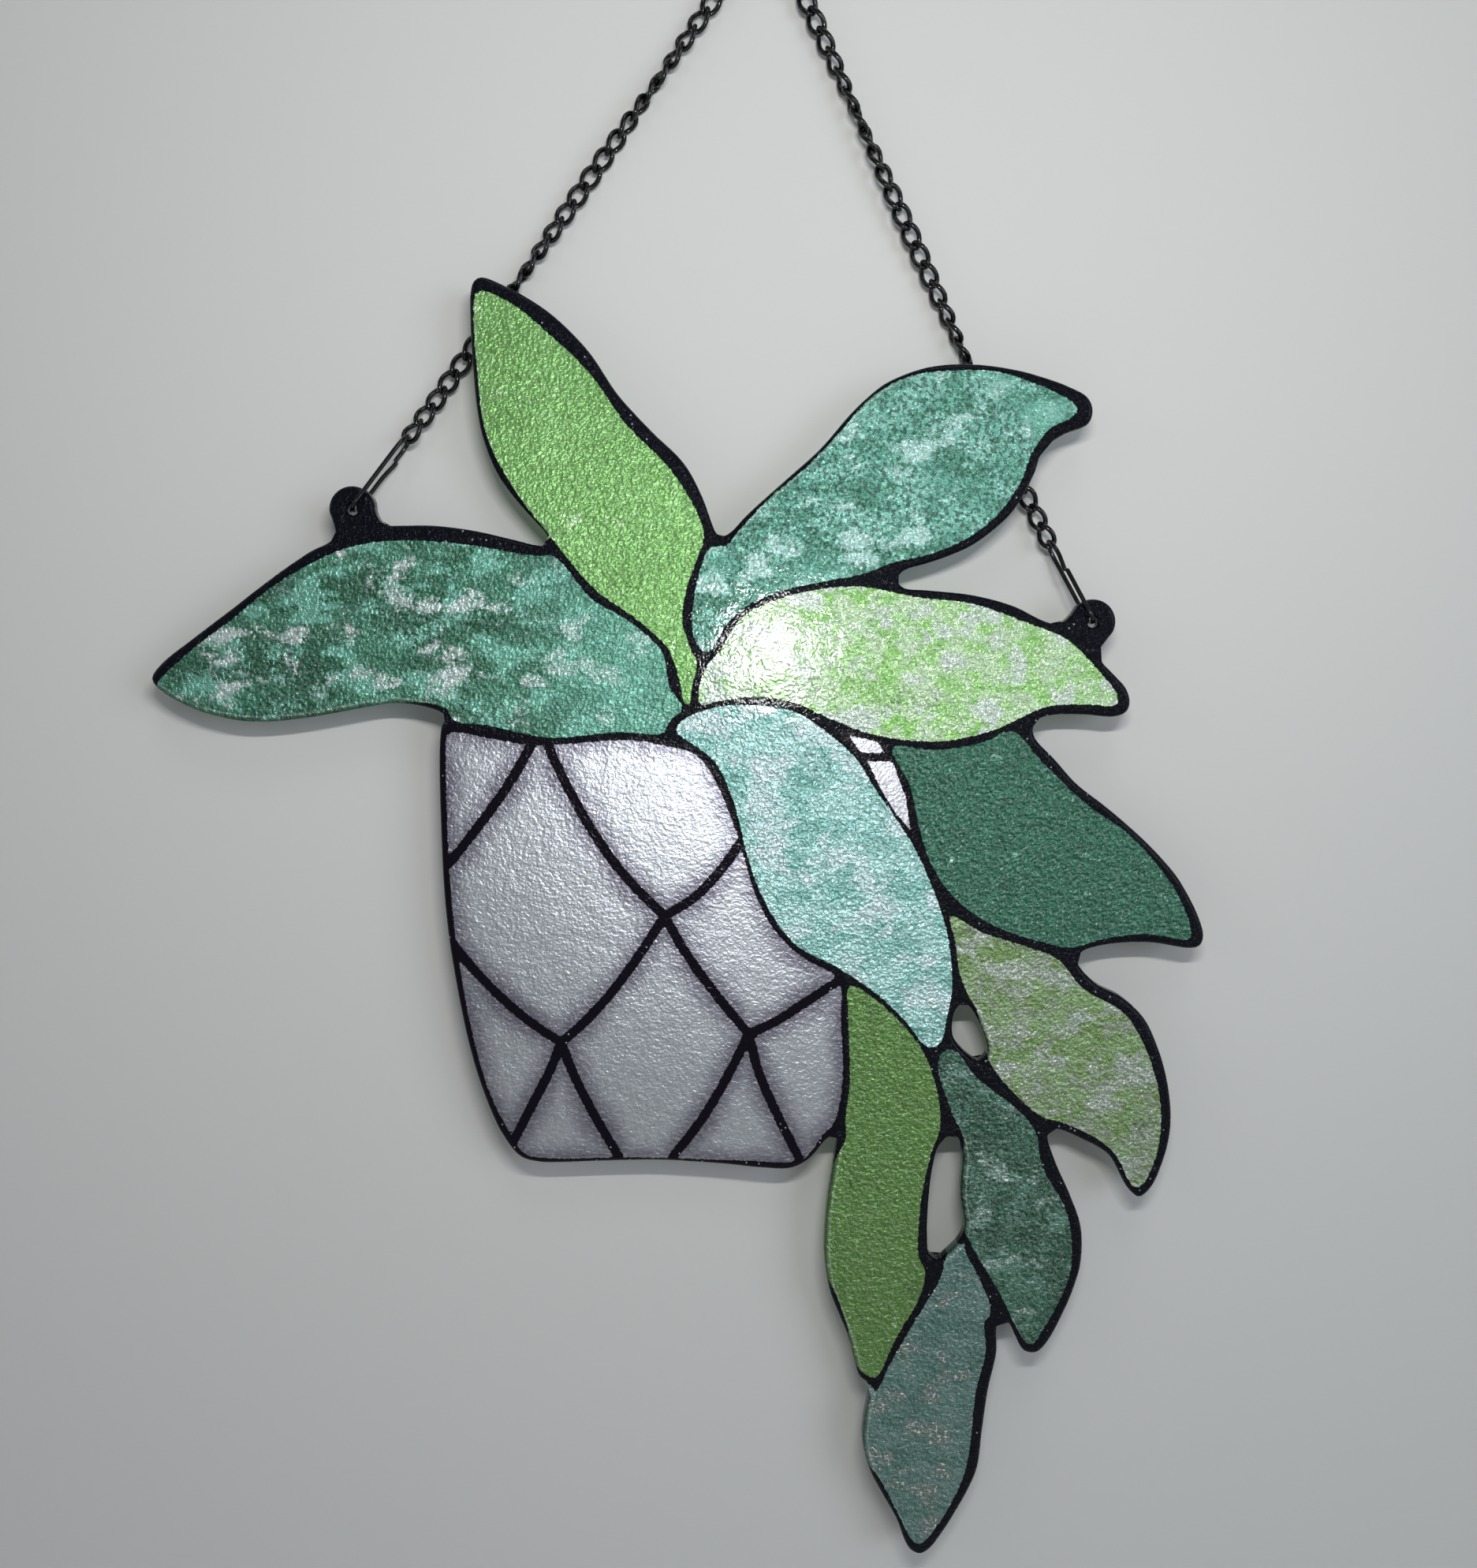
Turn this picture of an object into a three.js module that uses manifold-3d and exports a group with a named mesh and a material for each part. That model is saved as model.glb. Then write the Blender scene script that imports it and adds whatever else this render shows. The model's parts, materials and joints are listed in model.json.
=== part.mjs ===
// A hanging window ornament: one glass sheet cut to the outline of a potted plant,
// two open wire rings and a curb chain. Millimetres, +Z up, +X to the viewer's right,
// front towards -Y. The origin is the middle of the chain's top link.
import * as THREE from 'three';
import { mergeVertices } from 'three/addons/utils/BufferGeometryUtils.js';
import Module from 'manifold-3d';

// Glass sheet
const sheetThickness = 3;
const sheetBackY = -1.9;
const edgeRound = 0.7;
const edgeRoundSteps = 2;
const outlineStep = 4.5;
const earHoleRadius = 0.85;
const earHoleSides = 12;

// Ears: each is an arc round its hole, from one web of glass to the other
const leftEar = { x: -61.5, z: -82.3, radius: 3.45, from: 212, to: -8 };
const rightEar = { x: 48.3, z: -98.8, radius: 3.4, from: 160, to: -50 };
const earArcSpans = 7;

// Chain: one length from ring to ring over the hanging point
const wire = 0.68;
const linkGap = 0.1;
const linkHalfWidth = 1.14;
const linkCount = 62;
const separateLeft = 25;
const separateRight = 28;
const touchBite = 0.2;
const curbTwist = Math.PI / 4;
const linkSteps = 10;
const wireSides = 5;
const smallTurn = 0.01;
const topCorner = 4;
const topCornerZ = 1.6;
const settleLength = 6;
const leftChainStart = [-53.6, -71.4];
const rightChainStart = [42.1, -86.8];

// The chain turns slowly about itself, by [distance from the ring, half turns], and the half turns
// that bring the right run level with the left one at the top
const leftTwist = [[9.5, 0], [26.5, 0.5], [60.5, 1.5]];
const rightTwist = [[7, 0], [31.7, 0.5], [69.7, 1.5]];
const halfTurnsAhead = 5;
const twistChange = { from: 0.42, to: 0.52 };

// Open wire rings, long ovals that stand square to the sheet. Along is measured from the ear's hole
// to the chain, across from the sheet's middle to the back, from the hole up the front and down the back
const ringLength = 13.5;
const ringTopAcross = 2.4;
const ringSteps = 32;
const ringLine = [
  [0, 0.05], [0.12, -1], [0.55, -1.85], [1.35, -2.28], [2.9, -1.97], [6, -1.4], [9, -0.82],
  [11.4, -0.3], [12.7, 0.35], [13.35, 1.35], [ringLength, ringTopAcross], [13.15, 3.5], [12.2, 4.15],
  [11, 4.2], [9, 3.75], [6, 3.15], [3, 2.55], [1.6, 2.2], [0.6, 1.7], [0.1, 0.9],
];

// Where each ring is open, as a place in the list, and how far its free end stands out sideways
const ringGap = 0.4;
const leftRing = { openAt: 14, aside: 0.3 };
const rightRing = { openAt: 6, aside: -0.3 };

// Outline of the sheet as [x, z], clockwise from the tip of the left leaf
const leftLeafTop = [
  [-92.3, -107.2], [-90.9, -105.1], [-85.6, -101], [-79.6, -96.6], [-73.4, -92], [-67.6, -88.2],
  [-65.4, -87.2], [-64.2, -86.2],
];
const leftLeafToNotch = [
  [-56.8, -84.5], [-54.9, -84.6], [-49.8, -84.6], [-43.9, -85.3], [-38.1, -86.6], [-34.3, -87.5],
  [-33.1, -87.5], [-32.6, -86.7], [-32.9, -85.9],
];
const limeLeaf = [
  [-35.5, -83], [-39.8, -77.5], [-42.3, -70.8], [-43.2, -62.7], [-43.5, -55.4], [-43.4, -51.3],
  [-42.9, -49.7], [-41.8, -49.1], [-37.8, -50.6], [-31.7, -54.3], [-26, -60], [-22.3, -65.5],
  [-17, -71.2], [-12.5, -75.6], [-9.9, -80.3], [-8.3, -84.6], [-7.7, -85.8], [-6.7, -86.1],
  [-5.7, -85.6],
];
const upperRightLeaf = [
  [-3.3, -83.1], [2.9, -77.6], [7.5, -73.5], [11.9, -68.5], [17.2, -64], [23.2, -61.8],
  [29.9, -61.4], [36.1, -62.2], [43.4, -64.4], [46.6, -66.1], [47.4, -68], [46.8, -69.9],
  [43.3, -71.4], [40.3, -73.6], [39, -77.2], [36.1, -82.4], [30.1, -87.5], [23.6, -90.1],
  [19.9, -91.3], [19.1, -92.6], [20, -93.7],
];
const rightLeafTop = [
  [23.7, -94.1], [30.3, -94.8], [36.4, -96.4], [41, -98.6], [43.3, -99.1],
];
const rightLeafTip = [
  [49.3, -103.3], [49.8, -104.6], [51.7, -106.6], [53.6, -108.7], [54.2, -110.8], [53.7, -112.2],
  [52, -112.9], [47.3, -112.6], [42.5, -112.7], [40.4, -113.4], [39.8, -114.7], [40.1, -116.1],
];
const darkGreenLeaf = [
  [43.2, -119.4], [46.5, -123], [50.9, -126.4], [57.4, -132], [62.6, -137.8], [65.7, -143.4],
  [66.6, -146.5], [66.1, -148], [64.7, -148.4], [58.1, -147.5], [51.5, -147.9], [48.2, -148.9],
  [47.3, -150], [47.8, -151.3],
];
const oliveLeaf = [
  [50.7, -154.2], [54.4, -156.1], [58, -159.5], [60.5, -164.7], [62.3, -171.6], [62.5, -178.5],
  [59.9, -186.6], [58.1, -188.1], [56.4, -186.8], [53.2, -181.3], [49.1, -178.8], [45.4, -177.2],
  [44.1, -177.2], [43.6, -178.2],
];
const darkTealLeaf = [
  [44.9, -182.4], [47.3, -187.7], [49.2, -193.1], [49.3, -199], [47.1, -206.4], [44.2, -212.3],
  [42.6, -213.8], [40.7, -213.5], [39.2, -210.9], [38.4, -209.2], [37.3, -208.5], [36.4, -209.4],
];
const bottomLeaf = [
  [36.4, -213.7], [35.2, -220], [34.4, -226.7], [33.7, -233.3], [30.7, -240.2], [26.1, -247.4],
  [24.7, -248.1], [23, -247.2], [20.8, -241.9], [16.6, -233.9], [15.3, -228.7], [15.7, -223.6],
  [16.5, -220], [16.4, -219.1],
];
const longLeaf = [
  [14.8, -217.9], [14, -215.7], [12.9, -211.3], [9.9, -203.5], [9, -197.8], [9.4, -188.5],
  [10.7, -180.2], [10.8, -178.8], [10.1, -178.2], [9.1, -178.8],
];
const pot = [
  [6.5, -181.9], [3.7, -183.4], [-6.1, -182.8], [-16.6, -182.1], [-27.1, -182.3], [-35.6, -182.4],
  [-38.5, -181.5], [-41.3, -177.8], [-45.2, -167.2], [-48, -152.8], [-49.2, -142.2],
  [-49.6, -129.7], [-49.5, -117.4], [-49.1, -114.3], [-48.4, -113.1], [-49.3, -112.2],
];
const leftLeafBottom = [
  [-53.1, -111.1], [-56.3, -110.9], [-63, -112], [-70.9, -113.3], [-78.8, -113.6],
  [-86.6, -111.6], [-91.3, -108.8],
];

// Two gaps that go right through, between the trailing leaves
const smallGap = [
  [30.2, -157], [31.4, -158], [33.1, -161.4], [33.9, -164.9], [32.7, -166.2], [31.1, -165.4],
  [28.8, -162.8], [28.4, -161.2], [28.9, -158.1],
];
const longGap = [
  [28.5, -178.1], [29.7, -178.6], [30.4, -181.4], [30.2, -187.6], [30.9, -192.7], [30.3, -195],
  [28.3, -197.3], [26.9, -198.4], [25.5, -197.6], [25.1, -194.3], [25.3, -187.6], [26.7, -179.8],
];

const glassFinish = { color: 0x5f9a78, roughness: 0.2, metalness: 0 };
const blackFinish = { color: 0x0b0b0d, roughness: 0.25, metalness: 0.3 };

const wasm = await Module();
wasm.setup();

function earArc(ear) {
  const points = [];
  for (let span = 0; span <= earArcSpans; span++) {
    const angle = THREE.MathUtils.degToRad(THREE.MathUtils.lerp(ear.from, ear.to, span / earArcSpans));
    points.push([ear.x + ear.radius * Math.cos(angle), ear.z + ear.radius * Math.sin(angle)]);
  }
  return points;
}

// A smooth closed curve through the points, with a sample at each point and more along the long spans
function smoothLoop(points) {
  const corners = points.map(([x, z]) => new THREE.Vector3(x, z, 0));
  const curve = new THREE.CatmullRomCurve3(corners, true, 'centripetal');
  const samples = [];
  corners.forEach((corner, i) => {
    const next = corners[(i + 1) % corners.length];
    const parts = Math.max(1, Math.round(corner.distanceTo(next) / outlineStep));
    for (let part = 0; part < parts; part++) {
      const place = curve.getPoint((i + part / parts) / corners.length);
      samples.push(new THREE.Vector2(place.x, place.y));
    }
  });
  return samples;
}

function roundLoop(x, z, radius, sides) {
  const points = [];
  for (let side = 0; side < sides; side++) {
    const angle = (2 * Math.PI * side) / sides;
    points.push(new THREE.Vector2(x + radius * Math.cos(angle), z + radius * Math.sin(angle)));
  }
  return points;
}

function earHole(ear) {
  return new THREE.Path(roundLoop(ear.x, ear.z, earHoleRadius, earHoleSides));
}

function glassSheet() {
  const outline = smoothLoop([
    ...leftLeafTop, ...earArc(leftEar), ...leftLeafToNotch, ...limeLeaf, ...upperRightLeaf,
    ...rightLeafTop, ...earArc(rightEar), ...rightLeafTip, ...darkGreenLeaf, ...oliveLeaf,
    ...darkTealLeaf, ...bottomLeaf, ...longLeaf, ...pot, ...leftLeafBottom,
  ]);
  const shape = new THREE.Shape(outline.reverse());
  shape.holes.push(new THREE.Path(smoothLoop(smallGap)), new THREE.Path(smoothLoop(longGap)));
  shape.holes.push(earHole(leftEar), earHole(rightEar));
  const geometry = new THREE.ExtrudeGeometry(shape, {
    depth: sheetThickness - 2 * edgeRound,
    bevelThickness: edgeRound,
    bevelSize: edgeRound,
    bevelOffset: -edgeRound,
    bevelSegments: edgeRoundSteps,
    curveSegments: 1,
  });
  geometry.rotateX(Math.PI / 2);
  geometry.translate(0, sheetBackY - edgeRound, 0);
  return geometry;
}

// One link lies along its own X axis: an oval of wire, twisted so that its ends stand square to each other
function linkLine(halfLength, angle) {
  const turn = curbTwist * Math.cos(angle);
  const side = linkHalfWidth * Math.sin(angle);
  return new THREE.Vector3(halfLength * Math.cos(angle), side * Math.sin(turn), side * Math.cos(turn));
}

function linkGeometry(halfLength) {
  const ring = new THREE.TorusGeometry(1, 0.5, wireSides, linkSteps);
  const places = ring.attributes.position;
  for (let step = 0; step <= linkSteps; step++) {
    const angle = (2 * Math.PI * (step % linkSteps)) / linkSteps;
    const middle = linkLine(halfLength, angle);
    const ahead = linkLine(halfLength, angle + smallTurn);
    const along = ahead.sub(linkLine(halfLength, angle - smallTurn)).normalize();
    const outward = middle.clone().addScaledVector(along, -middle.dot(along)).normalize();
    const over = outward.clone().cross(along);
    for (let side = 0; side <= wireSides; side++) {
      const round = (2 * Math.PI * (side % wireSides)) / wireSides;
      const place = middle.clone();
      place.addScaledVector(outward, (wire / 2) * Math.cos(round));
      place.addScaledVector(over, (wire / 2) * Math.sin(round));
      places.setXYZ(side * (linkSteps + 1) + step, place.x, place.y, place.z);
    }
  }
  ring.computeVertexNormals();
  return ring;
}

function ringPlace(ear, direction, [along, across], aside = 0) {
  const place = new THREE.Vector3(ear.x, sheetBackY - sheetThickness / 2 + across, ear.z);
  place.addScaledVector(direction, along);
  return place.addScaledVector(new THREE.Vector3(direction.z, 0, -direction.x), aside);
}

// The direction from an ear's hole towards the point where its run of chain starts
function ringDirection(ear, [x, z]) {
  return new THREE.Vector3(x - ear.x, 0, z - ear.z).normalize();
}

function ringGeometry(ear, direction, { openAt, aside }) {
  const line = [...ringLine.slice(openAt), ...ringLine.slice(0, openAt)];
  const places = line.map((place, i) => ringPlace(ear, direction, place, i === 0 ? aside : 0));
  const free = ringPlace(ear, direction, line[0]);
  const before = places.at(-1);
  places.push(free.addScaledVector(before.clone().sub(free).normalize(), ringGap));
  const section = new THREE.Shape(roundLoop(0, 0, wire / 2, wireSides));
  const path = new THREE.CatmullRomCurve3(places);
  return new THREE.ExtrudeGeometry(section, { steps: ringSteps, extrudePath: path, curveSegments: 1 });
}

const leftDirection = ringDirection(leftEar, leftChainStart);
const rightDirection = ringDirection(rightEar, rightChainStart);
const ringTop = [ringLength, ringTopAcross];
const leftStart = ringPlace(leftEar, leftDirection, ringTop);
const rightStart = ringPlace(rightEar, rightDirection, ringTop);

// Each run leaves its ring, settles into the chain's plane behind the sheet, and turns over at the top
function chainPath() {
  const top = new THREE.Vector3(0, 0, topCornerZ);
  const runs = [leftStart, rightStart].map((start) => {
    const flat = new THREE.Vector3(start.x, 0, start.z);
    const direction = top.clone().sub(flat).normalize();
    return {
      start,
      settled: flat.clone().addScaledVector(direction, settleLength),
      corner: top.clone().addScaledVector(direction, -topCorner),
    };
  });
  const path = new THREE.CurvePath();
  path.add(new THREE.LineCurve3(runs[0].start, runs[0].settled));
  path.add(new THREE.LineCurve3(runs[0].settled, runs[0].corner));
  path.add(new THREE.QuadraticBezierCurve3(runs[0].corner, top, runs[1].corner));
  path.add(new THREE.LineCurve3(runs[1].corner, runs[1].settled));
  path.add(new THREE.LineCurve3(runs[1].settled, runs[1].start));
  return path;
}

function halfTurns(twist, distance) {
  const [from, to] = distance < twist[1][0] ? twist : twist.slice(1);
  return from[1] + ((distance - from[0]) * (to[1] - from[1])) / (to[0] - from[0]);
}

// The chain's turn about its own line, eased from the left run's into the right run's
function twistAt(distance, length) {
  const left = halfTurns(leftTwist, distance);
  const right = halfTurnsAhead - halfTurns(rightTwist, length - distance);
  const share = THREE.MathUtils.smoothstep(distance / length, twistChange.from, twistChange.to);
  return Math.PI * THREE.MathUtils.lerp(left, right, share);
}

// Each link reaches past its neighbour's end by the wire and the gap
function chainLinks() {
  const path = chainPath();
  const length = path.getLength();
  const overlap = wire + linkGap;
  const spacing = (length + overlap) / linkCount;
  const links = [];
  for (let i = 0; i < linkCount; i++) {
    const distance = (spacing - overlap) / 2 + i * spacing;
    const along = path.getTangentAt(distance / length).normalize();
    const back = new THREE.Vector3(0, 1, 0).addScaledVector(along, -along.y).normalize();
    const basis = new THREE.Matrix4().makeBasis(along, back, along.clone().cross(back));
    basis.multiply(new THREE.Matrix4().makeRotationX(twistAt(distance, length)));
    basis.setPosition(path.getPointAt(distance / length));
    links.push({ basis, halfLength: (spacing + overlap) / 2 });
  }
  return links;
}

function toSolid(geometry) {
  const bare = geometry.clone();
  bare.deleteAttribute('normal');
  bare.deleteAttribute('uv');
  const merged = mergeVertices(bare, 1e-3);
  return new wasm.Manifold(new wasm.Mesh({
    numProp: 3,
    vertProperties: new Float32Array(merged.attributes.position.array),
    triVerts: new Uint32Array(merged.index.array),
  }));
}

function fromSolid(solid) {
  const mesh = solid.getMesh();
  const geometry = new THREE.BufferGeometry();
  geometry.setAttribute('position', new THREE.BufferAttribute(mesh.vertProperties, 3));
  geometry.setIndex(new THREE.BufferAttribute(mesh.triVerts, 1));
  geometry.computeVertexNormals();
  return geometry;
}

// The links round the hanging point are one node, joined where they bear on each other
function joinedLinks(links) {
  const solids = links.map((link) => {
    const geometry = linkGeometry(link.halfLength - (linkGap + touchBite) / 2);
    return toSolid(geometry.applyMatrix4(link.basis));
  });
  return fromSolid(solids.reduce((all, next) => all.add(next)));
}

function addPiece(group, name, geometry, finish) {
  const piece = new THREE.Mesh(geometry, new THREE.MeshStandardMaterial(finish));
  piece.name = name;
  group.add(piece);
  return piece;
}

function addLink(group, name, link) {
  const piece = addPiece(group, name, linkGeometry(link.halfLength), blackFinish);
  link.basis.decompose(piece.position, piece.quaternion, piece.scale);
}

const ornament = new THREE.Group();
addPiece(ornament, 'glass_sheet', glassSheet(), glassFinish);
addPiece(ornament, 'end_ring_left', ringGeometry(leftEar, leftDirection, leftRing), blackFinish);
addPiece(ornament, 'end_ring_right', ringGeometry(rightEar, rightDirection, rightRing), blackFinish);

const links = chainLinks();
const leftLinks = links.slice(0, separateLeft);
const rightLinks = links.slice(-separateRight).reverse();
const number = (i) => String(i + 1).padStart(2, '0');
leftLinks.forEach((link, i) => addLink(ornament, `link_left_${number(i)}`, link));
rightLinks.forEach((link, i) => addLink(ornament, `link_right_${number(i)}`, link));
const top = joinedLinks(links.slice(separateLeft, -separateRight));
addPiece(ornament, 'links_top', top, blackFinish);

export default ornament;
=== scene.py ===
# Hanging window ornament: a sheet of hammered glass with a potted plant printed on it,
# two open wire rings and a curb chain. Sizes below are in millimetres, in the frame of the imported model.
import bpy
import json
import math
import numpy as np
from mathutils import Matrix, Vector
from mathutils.geometry import delaunay_2d_cdt
from mathutils.kdtree import KDTree

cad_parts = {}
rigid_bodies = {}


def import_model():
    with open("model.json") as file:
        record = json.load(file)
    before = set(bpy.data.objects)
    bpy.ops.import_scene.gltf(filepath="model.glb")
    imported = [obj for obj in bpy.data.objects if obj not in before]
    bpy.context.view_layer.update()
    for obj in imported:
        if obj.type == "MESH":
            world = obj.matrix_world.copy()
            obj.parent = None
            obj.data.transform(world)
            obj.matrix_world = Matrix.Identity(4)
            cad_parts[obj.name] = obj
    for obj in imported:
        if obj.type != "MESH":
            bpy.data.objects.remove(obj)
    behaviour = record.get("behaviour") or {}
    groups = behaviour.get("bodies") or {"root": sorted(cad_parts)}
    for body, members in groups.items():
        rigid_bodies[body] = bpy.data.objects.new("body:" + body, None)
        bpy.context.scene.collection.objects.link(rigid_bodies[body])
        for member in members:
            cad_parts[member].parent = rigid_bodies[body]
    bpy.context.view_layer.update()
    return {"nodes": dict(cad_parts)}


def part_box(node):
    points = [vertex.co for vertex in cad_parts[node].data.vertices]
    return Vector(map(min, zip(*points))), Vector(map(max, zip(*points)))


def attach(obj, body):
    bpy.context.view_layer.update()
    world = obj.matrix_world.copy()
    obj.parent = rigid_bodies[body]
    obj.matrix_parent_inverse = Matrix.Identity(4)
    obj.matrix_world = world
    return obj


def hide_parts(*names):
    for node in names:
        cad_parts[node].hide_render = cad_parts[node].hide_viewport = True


for old in list(bpy.data.objects):
    bpy.data.objects.remove(old)
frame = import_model()
toMetres = 0.001
print("frame loaded")


# Small helpers for nodes
def addNode(tree, kind, links=None, values=None, **settings):
    made = tree.nodes.new(kind)
    for name, value in settings.items():
        setattr(made, name, value)
    for socket, value in (values or {}).items():
        made.inputs[socket].default_value = value
    for socket, source in (links or {}).items():
        tree.links.new(source, made.inputs[socket])
    return made


def fill(tree, made, given):  # each socket gets a fixed value or a link
    for socket, value in given.items():
        if isinstance(value, (int, float, tuple)):
            made.inputs[socket].default_value = value
        else:
            tree.links.new(value, made.inputs[socket])
    return made.outputs


def maths(tree, operation, a, b):
    return fill(tree, addNode(tree, "ShaderNodeMath", operation=operation), {0: a, 1: b})[0]


def blendColours(tree, share, low, high):
    return fill(tree, addNode(tree, "ShaderNodeMix", data_type="RGBA"), {0: share, 6: low, 7: high})[2]


def softStep(tree, value, low, high, toLow=0.0, toHigh=1.0):
    made = addNode(tree, "ShaderNodeMapRange", interpolation_type="SMOOTHSTEP")
    given = {"Value": value, "From Min": low, "From Max": high, "To Min": toLow, "To Max": toHigh}
    return fill(tree, made, given)["Result"]


def noise(tree, vector, scale, detail=2.0, roughness=0.5, distortion=0.0, flat=True):
    made = addNode(tree, "ShaderNodeTexNoise", noise_dimensions="2D" if flat else "3D")
    given = {"Vector": vector, "Scale": scale}
    given |= {"Detail": detail, "Roughness": roughness, "Distortion": distortion}
    return fill(tree, made, given)["Fac"]


def inMillimetres(tree):
    place = tree.nodes.new("ShaderNodeTexCoord").outputs["Object"]
    return addNode(tree, "ShaderNodeMapping", {"Vector": place}, {"Scale": (1000, 1000, 1000)}).outputs[0]


def onSheet(tree, turn=0.0, stretch=(1, 1)):  # flat millimetres across and up the sheet
    across = addNode(tree, "ShaderNodeSeparateXYZ", {"Vector": inMillimetres(tree)}).outputs
    flat = addNode(tree, "ShaderNodeCombineXYZ", {"X": across["X"], "Y": across["Z"]}).outputs[0]
    values = {"Rotation": (0, 0, math.radians(turn)), "Scale": (*stretch, 1)}
    return addNode(tree, "ShaderNodeMapping", {"Vector": flat}, values).outputs["Vector"]


def newGroup(name, inputs, outputs):
    group = bpy.data.node_groups.new(name, "ShaderNodeTree")
    for label, kind, value in inputs:
        socket = group.interface.new_socket(label, in_out="INPUT", socket_type=kind)
        socket.default_value = value
    for label, kind in outputs:
        group.interface.new_socket(label, in_out="OUTPUT", socket_type=kind)
    entry = group.nodes.new("NodeGroupInput")
    leave = group.nodes.new("NodeGroupOutput")
    return group, entry.outputs, leave.inputs


def placeGroup(tree, group, links=None, values=None):
    return addNode(tree, "ShaderNodeGroup", links, values, node_tree=group).outputs


def colour(code):
    parts = [int(code[i:i + 2], 16) / 255 for i in (1, 3, 5)]
    return tuple(p / 12.92 if p <= 0.04045 else ((p + 0.055) / 1.055) ** 2.4 for p in parts) + (1.0,)


def newMaterial(name):
    made = bpy.data.materials.new(name)
    made.use_nodes = True
    return made, made.node_tree, made.node_tree.nodes["Principled BSDF"]


def addToScene(name, data):
    made = bpy.data.objects.new(name, data)
    bpy.context.scene.collection.objects.link(made)
    return made


# Shared effects
number, tint = "NodeSocketFloat", "NodeSocketColor"


def makePrintedLine():  # where colour is printed and where black is, with the print's ragged edge
    group, given, out = newGroup(
        "printedLine", [("Ink", number, 0.0), ("Ragged", number, 0.1)],
        [("Colour", number), ("Specks", number)])
    place = onSheet(group)
    wander = maths(group, "SUBTRACT", noise(group, place, 1.6, 3, 0.65), 0.5)
    wander = maths(group, "MULTIPLY", maths(group, "MULTIPLY", wander, given["Ragged"]), 5.0)
    moved = maths(group, "ADD", given["Ink"], wander)
    group.links.new(softStep(group, moved, -0.05, 0.05), out["Colour"])
    cells = addNode(group, "ShaderNodeTexVoronoi", {"Vector": place}, {"Scale": 0.42},
                    voronoi_dimensions="2D")
    dust = softStep(group, cells.outputs["Distance"], 0.03, 0.07, 1.0, 0.0)
    patchy = softStep(group, noise(group, place, 0.08), 0.56, 0.64)
    group.links.new(maths(group, "MULTIPLY", dust, patchy), out["Specks"])
    return group


hammerMarks = {"scale": 1.15, "detail": 2.2, "roughness": 0.62, "distortion": 0.25}


def makeHammered():  # the fine part of the glass's relief, and which of its slopes face up to the light
    group, given, out = newGroup(
        "hammered", [("Crinkle", number, 1.0), ("Grain", number, 0.35)],
        [("Height", number), ("Lit", number)])
    place = onSheet(group, 12, (0.95, 1.05))
    wave = noise(group, place, **hammerMarks)
    height = maths(group, "MULTIPLY", wave, given["Crinkle"])
    grain = maths(group, "MULTIPLY", noise(group, place, 2.3, 1.5, 0.6), given["Grain"])
    group.links.new(maths(group, "ADD", height, grain), out["Height"])
    above = addNode(group, "ShaderNodeVectorMath", {0: place}, {1: (0.12, 0.22, 0)},
                    operation="ADD").outputs[0]
    fall = maths(group, "SUBTRACT", wave, noise(group, above, **hammerMarks))
    group.links.new(softStep(group, fall, -0.24, 0.24), out["Lit"])
    return group


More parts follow.
